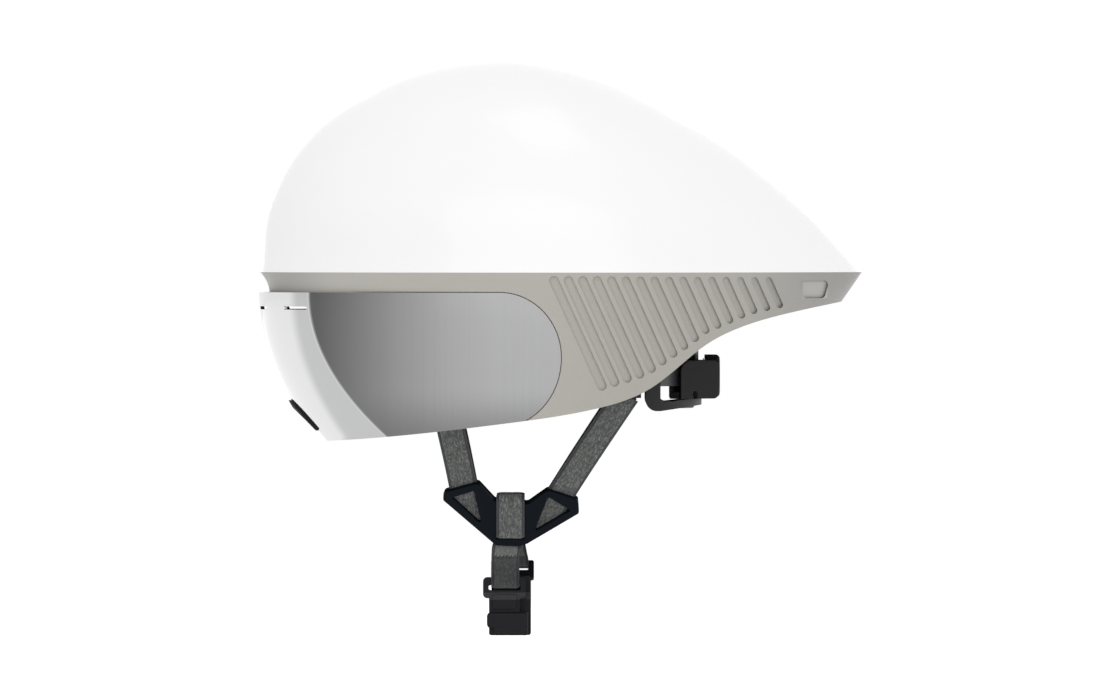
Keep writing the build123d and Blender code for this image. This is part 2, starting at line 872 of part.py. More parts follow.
# Retention cradle, dial and sizing belts, in layers round the cradle's axis
dial_depth = 54.0
wall_layer = 75.6
belt_wall = 1.2
belt_layer_left = 77.3
belt_layer_right = 78.9
cover_layer = 80.6
cover_wall = 1.6
housing_top = 45.8
housing_bottom = 65.6
housing_angle = 30.0
housing_wall = 1.4
neck_top = 38.2
neck_angle = 12.0
ledge_wall = 1.3
rail_lip = 1.3
rail_cover = 1.6
rail_width = 1.8
boss_radius = 10.0
boss_face = 102.8
cheek_offset = 14.5
cheek_wall = 2.4
cheek_back = 110.8
cheek_radius = 2.4
cheek_front_radius = 5.5
screw_radius = 1.1
screw_head_radius = 2.0
screw_head_wall = 0.8
screw_angle = 22.0
screw_depth = 63.6
shaft_radius = 2.5
pilot_radius = 1.5


def radial_plane(angle, radius, depth):
    """Plane that faces away from the cradle's axis."""
    turn = radians(angle)
    outward = (cos(turn), sin(turn), 0)
    place = (cradle_axis_x + radius * cos(turn), radius * sin(turn), -depth)
    return Plane(origin=place, z_dir=outward)


def housing_screw_set(radius, start, end):
    """Plain pins where the two housing screws run, between two radii."""
    with BuildPart() as pins:
        for angle in (-screw_angle, screw_angle):
            with BuildSketch(radial_plane(angle, start, screw_depth)):
                Circle(radius)
            extrude(amount=end - start)
    return pins.part


def dial_bore(radius, start, end):
    """Plain pin on the dial's axis, between two places along the helmet."""
    with BuildPart() as pin:
        with BuildSketch(Plane.YZ.offset(start)):
            with Locations((0, -dial_depth)):
                Circle(radius)
        extrude(amount=end - start)
    return pin.part


screw_end = wall_layer + housing_wall / 2
screw_seat = cover_layer + cover_wall
with BuildPart() as cradle_housing:
    add(arc_wall(wall_layer, wall_layer + housing_wall, -housing_angle, housing_angle,
                 housing_top, housing_bottom))
    add(arc_wall(wall_layer, cover_layer, -neck_angle, neck_angle, neck_top, housing_top))
    add(arc_wall(wall_layer, cover_layer, -housing_angle, housing_angle,
                 housing_top, housing_top + ledge_wall))
    add(arc_wall(wall_layer, cover_layer, -housing_angle, housing_angle,
                 housing_bottom - ledge_wall - 2 * screw_radius, housing_bottom))
    for side in (-1, 1):
        inner_edge = degrees(asin((stem_half_width + seat_gap) / stem_radius))
        outer_edge = degrees(asin((stem_half_width + seat_gap + rail_width) / stem_radius))
        lip_edge = degrees(asin((stem_half_width - rail_cover) / stem_radius))
        low, high = sorted((side * inner_edge, side * outer_edge))
        lip_front = stem_radius - seat_gap - rail_lip
        add(arc_wall(lip_front, wall_layer, low, high, housing_top, housing_bottom))
        low, high = sorted((side * lip_edge, side * outer_edge))
        add(arc_wall(lip_front, lip_front + rail_lip, low, high, housing_top, housing_bottom))
    add(dial_bore(pilot_radius + running_gap, cradle_axis_x + stem_radius, boss_face), mode=Mode.SUBTRACT)
    add(housing_screw_set(screw_radius, screw_end, cover_layer + overrun), mode=Mode.SUBTRACT)

cheek_front = cradle_axis_x + screw_seat * cos(radians(housing_angle))
cheek_spread = screw_seat * sin(radians(housing_angle))
with BuildPart() as cheek_pair:
    with BuildSketch(Plane.XY.offset(-housing_top)):
        with BuildLine():
            Polyline(
                (cheek_front, -cheek_spread),
                (cheek_back, -cheek_offset - cheek_wall),
                (cheek_back, -cheek_offset),
                (cradle_axis_x + stem_radius, -cheek_offset),
                close=True,
            )
        make_face()
    extrude(amount=housing_top - housing_bottom)
    mirror(about=Plane.XZ)
with BuildPart() as inside_cover:
    with BuildSketch(Plane.XY.offset(-housing_top + overrun)):
        with Locations((cradle_axis_x, 0)):
            Circle(cover_layer)
    extrude(amount=housing_top - housing_bottom - 2 * overrun)

with BuildPart() as housing_cover:
    add(arc_wall(cover_layer, cover_layer + cover_wall, -housing_angle, housing_angle,
                 housing_top, housing_bottom))
    add(dial_bore(boss_radius, cradle_axis_x + wall_layer, boss_face))
    add(cheek_pair.part)
    add(inside_cover.part, mode=Mode.SUBTRACT)
    with BuildSketch(Plane.XZ) as cover_outline:
        with Locations((cheek_front, -housing_top)):
            Rectangle(
                cheek_back - cheek_front,
                housing_bottom - housing_top,
                align=(Align.MIN, Align.MAX),
            )
        front_corners = cover_outline.vertices().group_by(Axis.X)[0].sort_by(Axis.Y)
        fillet(front_corners[-1], cheek_front_radius)
        fillet(cover_outline.vertices().group_by(Axis.X)[-1], cheek_radius)
    extrude(amount=half_width, both=True, mode=Mode.INTERSECT)
    add(dial_bore(shaft_radius + running_gap, cradle_axis_x + wall_layer, cheek_back), mode=Mode.SUBTRACT)
    add(housing_screw_set(screw_radius, screw_end, screw_seat + overrun), mode=Mode.SUBTRACT)
    add(
        housing_screw_set(screw_head_radius + running_gap, screw_seat, cheek_back - cradle_axis_x),
        mode=Mode.SUBTRACT,
    )

with BuildPart() as housing_screws:
    add(housing_screw_set(screw_radius, screw_end, screw_seat + running_gap))
    add(housing_screw_set(screw_head_radius, screw_seat + running_gap, screw_seat + screw_head_wall))

click_ring_outer = 9.2
click_ring_inner = 6.5
click_ring_wall = 0.6
click_count = 24
with BuildPart() as click_ring:
    with BuildSketch(Plane.YZ.offset(boss_face)):
        with Locations((0, -dial_depth)):
            Circle(click_ring_outer)
            Circle(click_ring_inner, mode=Mode.SUBTRACT)
            with PolarLocations(click_ring_inner, click_count):
                Circle(click_ring_wall / 2, mode=Mode.SUBTRACT)
    extrude(amount=click_ring_wall)

# Nape band below the housing, drawn in the side view and cut from a wall round the axis
band_front = 72.8
band_leg = 7.8
band_top = 52.0
band_bottom = 71.8
band_height = 4.2
band_rise = 3.2
band_radius = 6.0
band_inner_radius = 2.5
with BuildPart() as nape_band:
    add(arc_wall(cover_layer, cover_layer + cover_wall, -90, 90, band_top, band_bottom))
    with BuildSketch(Plane.XZ) as band_outline:
        with BuildLine():
            band_back = cradle_axis_x + cover_layer + 2 * cover_wall
            Polyline(
                (band_front, -band_top),
                (band_front, -band_bottom),
                (band_front + band_leg, -band_bottom),
                (band_back, -band_bottom + band_rise),
                (band_back, -housing_bottom),
                (band_back - band_leg, -housing_bottom),
                (band_front + band_leg, -band_bottom + band_height),
                (band_front + band_leg, -band_top),
                close=True,
            )
        make_face()
        fillet(band_outline.vertices().group_by(Axis.Y)[0].sort_by(Axis.X)[0], band_radius)
        inner_corner = (band_front + band_leg, -band_bottom + band_height, 0)
        fillet(band_outline.vertices().sort_by_distance(inner_corner)[0], band_inner_radius)
    extrude(amount=half_width, both=True, mode=Mode.INTERSECT)

# Soft pads on the nape band's inner face
nape_pad_wall = 3.4
nape_pad_start = 12.0
nape_pad_end = 38.0
nape_pad_top = 67.2
nape_pad_bottom = 71.0
with BuildPart() as nape_pads:
    add(arc_wall(cover_layer - nape_pad_wall, cover_layer, nape_pad_start, nape_pad_end,
                 nape_pad_top, nape_pad_bottom))
    mirror(about=Plane.XZ)

# Dial: knob, grip, pinion and screw turn together
knob_gap = 0.3
knob_start = boss_face + click_ring_wall + knob_gap
knob_length = 8.0
knob_radius = 9.4
grip_radius = 11.2
knurl_count = 24
knurl_radius = 0.8
knob_dish = 1.4
grip_edge = 2.4
tooth_count = 10
tooth_module = 0.8
pinion_tip = 4.7
pinion_root = 3.3
tooth_tip_half = 0.35
tooth_root_half = 0.65
dial_screw_radius = 1.2
dial_screw_head = 2.6
dial_screw_length = 7.0
knob_end = knob_start + knob_length

with BuildPart() as dial_knob:
    add(dial_bore(knob_radius, knob_start, knob_end))
    fillet(dial_knob.faces().sort_by(Axis.X)[-1].edges(), knob_dish / 2)
    add(dial_bore(dial_screw_head, knob_end - knob_dish, knob_end), mode=Mode.SUBTRACT)
    add(dial_bore(shaft_radius, knob_start, knob_start + knob_length / 2), mode=Mode.SUBTRACT)
    add(dial_bore(dial_screw_radius, knob_start, knob_end), mode=Mode.SUBTRACT)

with BuildPart() as dial_grip:
    add(dial_bore(grip_radius, knob_start, knob_end))
    fillet(dial_grip.faces().sort_by(Axis.X)[-1].edges(), grip_edge)
    with BuildSketch(Plane.YZ.offset(knob_start)):
        with Locations((0, -dial_depth)):
            Circle(knob_radius)
            with PolarLocations(grip_radius + knurl_radius / 3, knurl_count):
                Circle(knurl_radius)
    extrude(amount=knob_length, mode=Mode.SUBTRACT)

with BuildPart() as dial_pinion:
    gear_start = cradle_axis_x + wall_layer + housing_wall + knob_gap
    gear_end = cradle_axis_x + cover_layer - knob_gap
    rim = []
    for index in range(tooth_count):
        turn = radians(90 + 360 * index / tooth_count)
        for radius, half in (
            (pinion_root, -tooth_root_half),
            (pinion_tip, -tooth_tip_half),
            (pinion_tip, tooth_tip_half),
            (pinion_root, tooth_root_half),
        ):
            rim.append((
                radius * cos(turn) - half * sin(turn),
                radius * sin(turn) + half * cos(turn) - dial_depth,
            ))
    with BuildSketch(Plane.YZ.offset(gear_start)):
        with BuildLine():
            Polyline(rim, close=True)
        make_face()
    extrude(amount=gear_end - gear_start)
    add(dial_bore(shaft_radius, gear_end, knob_start + knob_length / 2))
    add(dial_bore(pilot_radius, cradle_axis_x + wall_layer, gear_start))
    add(
        dial_bore(dial_screw_radius, knob_end - knob_dish - dial_screw_length, knob_end),
        mode=Mode.SUBTRACT,
    )

with BuildPart() as dial_screw:
    add(dial_bore(dial_screw_radius, knob_end - knob_dish - dial_screw_length, knob_end - knob_dish))
    add(dial_bore(dial_screw_head, knob_end - knob_dish, knob_end - knob_dish / 4))

# Sizing belts: thin bands that overlap in the housing, each with a rack facing the pinion
belt_half_height = 5.0
rack_half_height = 6.6
rack_angle = 18.0
slot_angle = 14.2
belt_front_angle = 108.0
rack_tip = 3.7
rack_root = 5.0
rack_tip_half = 0.3
rack_root_half = 0.6


def sizing_belt(layer, side, rack_up):
    """One belt: side is the way it runs forward, rack_up puts its teeth above the pinion."""
    pitch = pi * tooth_module
    middle = layer + belt_wall / 2
    reach = middle * sin(radians(slot_angle))
    teeth = int(reach / pitch)
    edge = []
    for index in range(-teeth, teeth):
        y = middle * sin((index + 0.5) * pitch / middle)
        edge += [
            (y - rack_root_half, rack_root),
            (y - rack_tip_half, rack_tip),
            (y + rack_tip_half, rack_tip),
            (y + rack_root_half, rack_root),
        ]
    slot = [(-reach, -rack_root), (-reach, rack_root), *edge, (reach, rack_root), (reach, -rack_root)]
    facing_up = 1 if rack_up else -1
    low, high = sorted((-side * rack_angle, side * belt_front_angle))
    wide_low, wide_high = sorted((-side * rack_angle, side * rack_angle))
    with BuildPart() as belt:
        add(arc_wall(layer, layer + belt_wall, low, high,
                     dial_depth - belt_half_height, dial_depth + belt_half_height))
        add(arc_wall(layer, layer + belt_wall, wide_low, wide_high,
                     dial_depth - rack_half_height, dial_depth + rack_half_height))
        with BuildSketch(Plane.YZ.offset(cradle_axis_x)):
            with BuildLine():
                Polyline([(y, -dial_depth + facing_up * z) for y, z in slot], close=True)
            make_face()
        extrude(amount=2 * layer, mode=Mode.SUBTRACT)
    return belt.part


with BuildPart() as belt_left:
    add(sizing_belt(belt_layer_left, -1, True))
with BuildPart() as belt_right:
    add(sizing_belt(belt_layer_right, 1, False))

# Temple guides: blocks on the liner's wall that the front ends of the belts slide through
guide_start_angle = 88.0
guide_end_angle = 95.0
guide_lip = 1.4
guide_wall = 2.0
cradle_lift = 3.0
cradle_drop = 6.0


def temple_guide(layer, side):
    """One guide, with a slot tall enough for the cradle's travel up and down."""
    low, high = sorted((side * guide_start_angle, side * guide_end_angle))
    slot_top = dial_depth - belt_half_height - cradle_lift - 2 * seat_gap
    slot_bottom = dial_depth + belt_half_height + cradle_drop + 2 * seat_gap
    with BuildPart() as guide:
        add(arc_wall(layer - seat_gap - guide_lip, relief_radius + guide_wall, low, high,
                     slot_top - guide_wall, slot_bottom + guide_wall))
        add(arc_wall(layer - seat_gap, layer + belt_wall + seat_gap, low - guide_wall, high + guide_wall,
                     slot_top, slot_bottom), mode=Mode.SUBTRACT)
        add(eps_liner.part, mode=Mode.SUBTRACT)
    return guide.part


with BuildPart() as temple_guide_left:
    add(temple_guide(belt_layer_left, -1))
with BuildPart() as temple_guide_right:
    add(temple_guide(belt_layer_right, 1))

pieces = {
    "upper_shell": upper_shell,
    "lower_shell": lower_shell,
    "eps_liner": eps_liner,
    "tail_floor": tail_floor,
    "visor_lens": visor_lens,
    "nose_guard": nose_guard,
    "lens_plates": lens_plates,
    "brow_magnets": brow_magnets,
    "visor_seal": visor_seal,
    "brow_pad": brow_pad,
    "crown_pad": crown_pad,
    "side_pad_left": side_pad_left,
    "side_pad_right": side_pad_right,
    "rear_pad": rear_pad,
    "front_strap_anchors": front_strap_anchors,
    "rear_strap_anchors": rear_strap_anchors,
    "front_strap_left": front_strap_left,
    "front_strap_right": front_strap_right,
    "rear_strap_left": rear_strap_left,
    "rear_strap_right": rear_strap_right,
    "strap_divider_left": strap_divider_left,
    "strap_divider_right": strap_divider_right,
    "chin_strap_left": chin_strap_left,
    "chin_strap_right": chin_strap_right,
    "chin_strap_end": chin_strap_end,
    "buckle_tongue": tongue_body,
    "tongue_magnet": tongue_magnet,
    "tongue_grip": tongue_grip,
    "buckle_socket": socket_body,
    "socket_magnet": socket_magnet,
    "height_stem": height_stem,
    "stem_pins": stem_pins,
    "cradle_housing": cradle_housing,
    "housing_cover": housing_cover,
    "housing_screws": housing_screws,
    "click_ring": click_ring,
    "nape_band": nape_band,
    "nape_pads": nape_pads,
    "dial_knob": dial_knob,
    "dial_grip": dial_grip,
    "dial_pinion": dial_pinion,
    "dial_screw": dial_screw,
    "belt_left": belt_left,
    "belt_right": belt_right,
    "temple_guide_left": temple_guide_left,
    "temple_guide_right": temple_guide_right,
}

os.makedirs("parts", exist_ok=True)
for name, piece in pieces.items():
    piece.part.label = name
    export_step(piece.part, f"parts/{name}.step")
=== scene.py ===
import bpy
import bmesh
import math
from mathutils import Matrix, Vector


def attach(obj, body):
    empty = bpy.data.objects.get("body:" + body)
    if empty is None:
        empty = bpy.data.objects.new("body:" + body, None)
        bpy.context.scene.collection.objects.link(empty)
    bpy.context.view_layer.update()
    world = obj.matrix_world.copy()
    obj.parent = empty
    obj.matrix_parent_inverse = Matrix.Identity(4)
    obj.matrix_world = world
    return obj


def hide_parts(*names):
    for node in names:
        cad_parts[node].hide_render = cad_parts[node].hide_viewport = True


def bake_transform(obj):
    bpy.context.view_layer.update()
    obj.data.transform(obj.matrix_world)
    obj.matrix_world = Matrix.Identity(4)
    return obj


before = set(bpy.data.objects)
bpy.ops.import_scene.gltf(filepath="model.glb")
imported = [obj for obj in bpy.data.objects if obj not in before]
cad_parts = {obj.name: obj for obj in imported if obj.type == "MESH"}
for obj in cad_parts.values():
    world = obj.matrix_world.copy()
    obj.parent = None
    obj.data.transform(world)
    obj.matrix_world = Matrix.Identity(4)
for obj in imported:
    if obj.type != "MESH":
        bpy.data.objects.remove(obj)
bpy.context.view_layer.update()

# Upper shell: a thin thermoformed dome in glossy white lacquer, bonded to the foam and ending
# in a straight cut edge at the belt line.


def node(mat, kind, inputs=(), **settings):
    """One shader node; each input is a plain value or another node's output."""
    made = mat.node_tree.nodes.new("ShaderNode" + kind)
    for key, value in settings.items():
        setattr(made, key, value)
    for key, value in dict(inputs).items():
        if isinstance(value, bpy.types.NodeSocket):
            mat.node_tree.links.new(value, made.inputs[key])
        else:
            made.inputs[key].default_value = value
    return made


def reckon(mat, operation, a, b=0.0, c=0.0):
    return node(mat, "Math", {0: a, 1: b, 2: c}, operation=operation).outputs[0]


def blend_colour(mat, factor, a, b):
    """Colour a where the factor is 0 and b where it is 1."""
    made = node(mat, "Mix", {"Factor": factor}, data_type="RGBA")
    for socket, colour in ((made.inputs[6], a), (made.inputs[7], b)):
        if isinstance(colour, bpy.types.NodeSocket):
            mat.node_tree.links.new(colour, socket)
        else:
            socket.default_value = (*colour, 1)
    return made.outputs[2]


def ramp(mat, factor, stops):
    made = node(mat, "ValToRGB", {0: factor})
    band = made.color_ramp
    band.elements[0].position = stops[0][0]
    band.elements[1].position = stops[-1][0]
    for place, _ in stops[1:-1]:
        band.elements.new(place)
    for element, (_, colour) in zip(band.elements, stops):
        element.color = (*colour, 1)
    return made.outputs[0]


def smooth_step(mat, value, low, high):
    made = node(mat, "MapRange", {0: value, 1: low, 2: high}, interpolation_type="SMOOTHSTEP")
    return made.outputs[0]


def speckle(mat, coords, scale, detail=2.0):
    return node(mat, "TexNoise", {"Vector": coords, "Scale": scale, "Detail": detail}).outputs[0]


def new_finish(name, roughness, **shader):
    """A material whose constant values are set on the shader's own sockets."""
    mat = bpy.data.materials.new(name)
    mat.use_nodes = True
    bsdf = mat.node_tree.nodes["Principled BSDF"]
    bsdf.inputs["Roughness"].default_value = roughness
    for key, value in shader.items():
        bsdf.inputs[key.replace("_", " ")].default_value = value
    coords = node(mat, "TexCoord").outputs
    return mat, bsdf, coords


def paint(mat, bsdf, colour=None, roughness=None, height=None, strength=0.2, distance=0.001, edge=0.0):
    """Joins the worked-out colour, roughness and relief to the shader, with softened edges."""
    links = mat.node_tree.links
    if colour is not None:
        links.new(colour, bsdf.inputs["Base Color"])
    if roughness is not None:
        links.new(roughness, bsdf.inputs["Roughness"])
    if height is not None:
        bump = node(mat, "Bump", {"Height": height, "Strength": strength, "Distance": distance})
        links.new(bump.outputs[0], bsdf.inputs["Normal"])
        if edge:
            links.new(node(mat, "Bevel", {"Radius": edge}, samples=6).outputs[0], bump.inputs["Normal"])


def dress(mat, *names):
    for name in names:
        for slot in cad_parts[name].material_slots:
            slot.material = mat


lacquer, bsdf, coords = new_finish("dome_lacquer", 0.3, Coat_Weight=0.35, Coat_Roughness=0.06)
wave = speckle(lacquer, coords["Object"], 18.0)
lacquer_colour = blend_colour(lacquer, wave, (0.930, 0.930, 0.928), (0.945, 0.945, 0.945))
peel = speckle(lacquer, coords["Object"], 420.0)
lacquer_gloss = reckon(lacquer, "MULTIPLY_ADD", speckle(lacquer, coords["Object"], 90.0), 0.06, 0.27)
paint(lacquer, bsdf, lacquer_colour, lacquer_gloss, peel, 0.03, 0.0002)
dress(lacquer, "upper_shell")

# Lower shell: one moulding for brow, sides and tail, sprayed in a satin warm grey. It is
# bonded under the dome, with slanted grooves, a sunk pocket and a rebate for the visor.
satin, bsdf, coords = new_finish("shell_satin", 0.42, Coat_Weight=0.12, Coat_Roughness=0.3)
place = node(satin, "SeparateXYZ", {0: coords["Object"]}).outputs
# Painted shade and light: the grey is darker at the front edge and at the tail, where the shell turns away
# from the light, and lighter just behind the brow.
shell_painted_shading = ramp(satin, node(satin, "MapRange", {0: place[0], 1: -0.130, 2: 0.190}).outputs[0], [
    (0.02, (0.352, 0.342, 0.322)), (0.12, (0.478, 0.460, 0.424)), (0.31, (0.432, 0.415, 0.379)),
    (0.56, (0.414, 0.397, 0.362)), (0.80, (0.414, 0.398, 0.364)), (0.96, (0.300, 0.291, 0.276)),
])
pocket_front, pocket_back, pocket_top, pocket_bottom = 0.1535, 0.1680, -0.0045, -0.0140
in_pocket = 1.0
for axis, rim, inner in ((0, pocket_front, 0.0015), (0, pocket_back, -0.0015),
                         (2, pocket_bottom, 0.0010), (2, pocket_top, -0.0010)):
    in_pocket = reckon(satin, "MULTIPLY", in_pocket, smooth_step(satin, place[axis], rim, rim + inner))
# Painted light: the inside of the sunk pocket is painted lighter than the shell round it, against the shade
# in the recess.
shell_painted_shading = blend_colour(satin, in_pocket, shell_painted_shading, (0.455, 0.435, 0.410))
mottle = speckle(satin, coords["Object"], 40.0)
satin_colour = blend_colour(satin, reckon(satin, "MULTIPLY", mottle, 0.08), shell_painted_shading, (0.36, 0.35, 0.32))
grain = speckle(satin, coords["Object"], 2600.0)
satin_rough = reckon(satin, "MULTIPLY_ADD", speckle(satin, coords["Object"], 160.0), 0.1, 0.37)
paint(satin, bsdf, satin_colour, satin_rough, grain, 0.08, 0.0001)
dress(satin, "lower_shell")

# Foam liner: black beaded foam moulded in one block and bonded into both shells. Its skin
# shows the outlines of the fused beads.
bead, bsdf, coords = new_finish("liner_beads", 0.62)
bead_cells = {"Vector": coords["Object"], "Scale": 300.0}
cells = node(bead, "TexVoronoi", bead_cells, feature="DISTANCE_TO_EDGE")
rim = smooth_step(bead, cells.outputs[0], 0.0, 0.16)
tint = node(bead, "TexVoronoi", bead_cells).outputs["Color"]
tint = node(bead, "SeparateColor", {0: tint}).outputs[0]
bead_colour = blend_colour(bead, tint, (0.020, 0.020, 0.021), (0.034, 0.034, 0.036))
bead_colour = blend_colour(bead, rim, (0.011, 0.011, 0.012), bead_colour)
paint(bead, bsdf, bead_colour, reckon(bead, "MULTIPLY_ADD", tint, 0.14, 0.52), rim, 0.35, 0.0006)
dress(bead, "eps_liner")

# Tail floor: a black vacuum-formed sheet that closes the tail from below, taped to the shell's
# edge. It has a fine leather-like grain from its mould.


def moulded(name, dark, light, roughness, grain_scale, relief, edge=0.0004, **shader):
    """Moulded plastic: fine mould texture, slight mottling and edges rounded by the tool."""
    mat, bsdf, coords = new_finish(name, roughness, **shader)
    mottle = speckle(mat, coords["Object"], 70.0)
    fine = speckle(mat, coords["Object"], grain_scale, 3.0)
    mixed = reckon(mat, "MULTIPLY_ADD", fine, 0.35, reckon(mat, "MULTIPLY", mottle, 0.65))
    colour = blend_colour(mat, mixed, dark, light)
    rough = reckon(mat, "MULTIPLY_ADD", mottle, 0.12, roughness - 0.06)
    paint(mat, bsdf, colour, rough, fine, relief, 0.0002, edge)
    return mat


floor_sheet = moulded("tail_floor_sheet", (0.014, 0.014, 0.015), (0.03, 0.03, 0.031), 0.5, 900.0, 0.3)
dress(floor_sheet, "tail_floor")

# Visor lens: one wrap-round polycarbonate shield, mirror-coated outside and smoke inside. Its outer
# colour is a painted reflection: white across the front and graphite to silver along each side.
mirror, bsdf, coords = new_finish("visor_mirror_painted_reflection", 0.07, Metallic=1.0)
place = node(mirror, "SeparateXYZ", {0: coords["Object"]}).outputs
share = node(mirror, "MapRange", {0: place[2], 1: -0.0114, 2: -0.0848}).outputs[0]
curve = reckon(mirror, "POWER", share, 2.0)
ahead = reckon(mirror, "SUBTRACT", place[0], reckon(mirror, "MULTIPLY_ADD", curve, 0.0403, -0.1014))
inset = reckon(mirror, "ADD", ahead, reckon(mirror, "MULTIPLY_ADD", curve, 0.0137, 0.0083))
# Painted reflection: white across the front, softening to light grey towards the boundary.
front = blend_colour(mirror, smooth_step(mirror, inset, -0.003, 0.003),
                     (0.69, 0.69, 0.69), (0.485, 0.487, 0.49))
along = node(mirror, "MapRange", {0: place[0], 1: -0.1, 2: 0.03}).outputs[0]
# Painted reflection: graphite near the front, running to silver further back along each side.
side = ramp(mirror, along, [
    (0.02, (0.105, 0.105, 0.107)), (0.19, (0.187, 0.187, 0.189)), (0.35, (0.269, 0.269, 0.271)),
    (0.55, (0.348, 0.348, 0.350)), (0.75, (0.388, 0.388, 0.390)), (0.95, (0.392, 0.392, 0.394)),
])
# Painted shade: the side reflection is darkened towards the lens's lower edge.
low = smooth_step(mirror, place[2], -0.058, -0.088)
side = blend_colour(mirror, reckon(mirror, "MULTIPLY", low, 0.62), side, (0.12, 0.12, 0.122))
stretched = node(mirror, "Mapping", {0: coords["Object"], 3: (1100.0, 1.0, 6.0)}).outputs[0]
streak = node(mirror, "TexNoise", {"Vector": stretched, "Scale": 1.0, "Detail": 1.0}).outputs[0]
side = blend_colour(mirror, reckon(mirror, "MULTIPLY", streak, 0.12), side, (0.10, 0.10, 0.102))
# Painted reflection: the front and side tones meet at a sharp boundary.
painted_reflection = blend_colour(mirror, smooth_step(mirror, ahead, -0.0003, 0.0003), front, side)
# Painted highlight: a bright line along the boundary between the front and side reflections.
boundary_highlight = smooth_step(mirror, reckon(mirror, "ABSOLUTE", ahead), 0.0011, 0.0004)
painted_reflection = blend_colour(mirror, reckon(mirror, "MULTIPLY", boundary_highlight, 0.25), painted_reflection, (0.72, 0.72, 0.72))
head_axis = (0.025, 0.0, 0.0)
from_axis = node(mirror, "VectorMath", {0: coords["Object"], 1: head_axis}, operation="SUBTRACT")
flat_way = node(mirror, "VectorMath", {0: from_axis.outputs[0], 1: (1.0, 1.0, 0.0)}, operation="MULTIPLY")
facing = node(mirror, "VectorMath", {0: flat_way.outputs[0], 1: coords["Normal"]}, operation="DOT_PRODUCT")
is_outer = reckon(mirror, "GREATER_THAN", facing.outputs[1], 0.02)
mirror_colour = blend_colour(mirror, is_outer, (0.028, 0.029, 0.032), painted_reflection)
haze = reckon(mirror, "MULTIPLY_ADD", speckle(mirror, coords["Object"], 240.0), 0.03, 0.05)
paint(mirror, bsdf, mirror_colour, haze, speckle(mirror, coords["Object"], 30.0), 0.01, 0.0005)
dress(mirror, "visor_lens")

# Nose guard and visor seal: soft black rubber. The guard is pressed on to the lens's notch, and
# the seal is glued to the brow behind the lens.
rubber = moulded("soft_rubber", (0.008, 0.008, 0.009), (0.017, 0.017, 0.018), 0.68, 1500.0, 0.25,
                 Specular_IOR_Level=0.2)
dress(rubber, "nose_guard", "visor_seal")

# Brow magnets and lens plates: nickel-plated discs pressed into the shell, and thin steel
# plates bonded inside the lens that they hold.
nickel, bsdf, coords = new_finish("nickel_plating", 0.24, Metallic=1.0)
scuff = speckle(nickel, coords["Object"], 700.0)
nickel_colour = blend_colour(nickel, scuff, (0.52, 0.51, 0.49), (0.64, 0.63, 0.61))
paint(nickel, bsdf, nickel_colour, reckon(nickel, "MULTIPLY_ADD", scuff, 0.16, 0.16), scuff, 0.06, 0.0001)
dress(nickel, "brow_magnets", "tongue_magnet", "socket_magnet")
steel, bsdf, coords = new_finish("brushed_steel", 0.32, Metallic=1.0)
brushed = node(steel, "Mapping", {0: coords["Object"], 3: (60.0, 60.0, 4200.0)}).outputs[0]
lines = node(steel, "TexNoise", {"Vector": brushed, "Scale": 1.0, "Detail": 2.0}).outputs[0]
steel_colour = blend_colour(steel, lines, (0.42, 0.42, 0.43), (0.60, 0.60, 0.61))
paint(steel, bsdf, steel_colour, reckon(steel, "MULTIPLY_ADD", lines, 0.2, 0.24), lines, 0.1, 0.0001)
dress(steel, "lens_plates", "housing_screws", "click_ring", "dial_screw")

# Comfort pads: dark knitted fabric over soft foam, with sewn channels across them. They are
# held to the liner by hook tape.
knit, bsdf, coords = new_finish("pad_knit", 0.85, Sheen_Weight=0.35, Sheen_Roughness=0.5)
loops = node(knit, "TexVoronoi", {"Vector": coords["Object"], "Scale": 950.0}).outputs[0]
fuzz = speckle(knit, coords["Object"], 120.0, 4.0)
knit_colour = blend_colour(knit, loops, (0.060, 0.062, 0.066), (0.018, 0.018, 0.020))
knit_colour = blend_colour(knit, reckon(knit, "MULTIPLY", fuzz, 0.4), knit_colour, (0.045, 0.046, 0.05))
paint(knit, bsdf, knit_colour, None, reckon(knit, "SUBTRACT", 1.0, loops), 0.5, 0.0003)

cavity_length, cavity_width, cavity_rise = 0.101, 0.085, 0.092
skin_inset, most_swell = 0.0005, 0.0016
seam_width, seam_depth = 0.0016, 0.0018
pad_grain, nape_grain = 0.0022, 0.0009


def outward(spot):
    """The way from the head towards the foam at one spot of the cavity's wall."""
    rise = max(0.0, spot.z) / cavity_rise**2
    return Vector((spot.x / cavity_length**2, spot.y / cavity_width**2, rise)).normalized()


def new_piece(name, mesh, mat, body):
    mesh.materials.clear()
    mesh.materials.append(mat)
    for face in mesh.polygons:
        face.use_smooth = True
    piece = bpy.data.objects.new(name, mesh)
    bpy.context.scene.collection.objects.link(piece)
    if body:
        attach(piece, body)
    return piece


def meshed(piece):
    """The piece's mesh with its modifiers worked in."""
    graph = bpy.context.evaluated_depsgraph_get()
    return bpy.data.meshes.new_from_object(piece.evaluated_get(graph), depsgraph=graph)


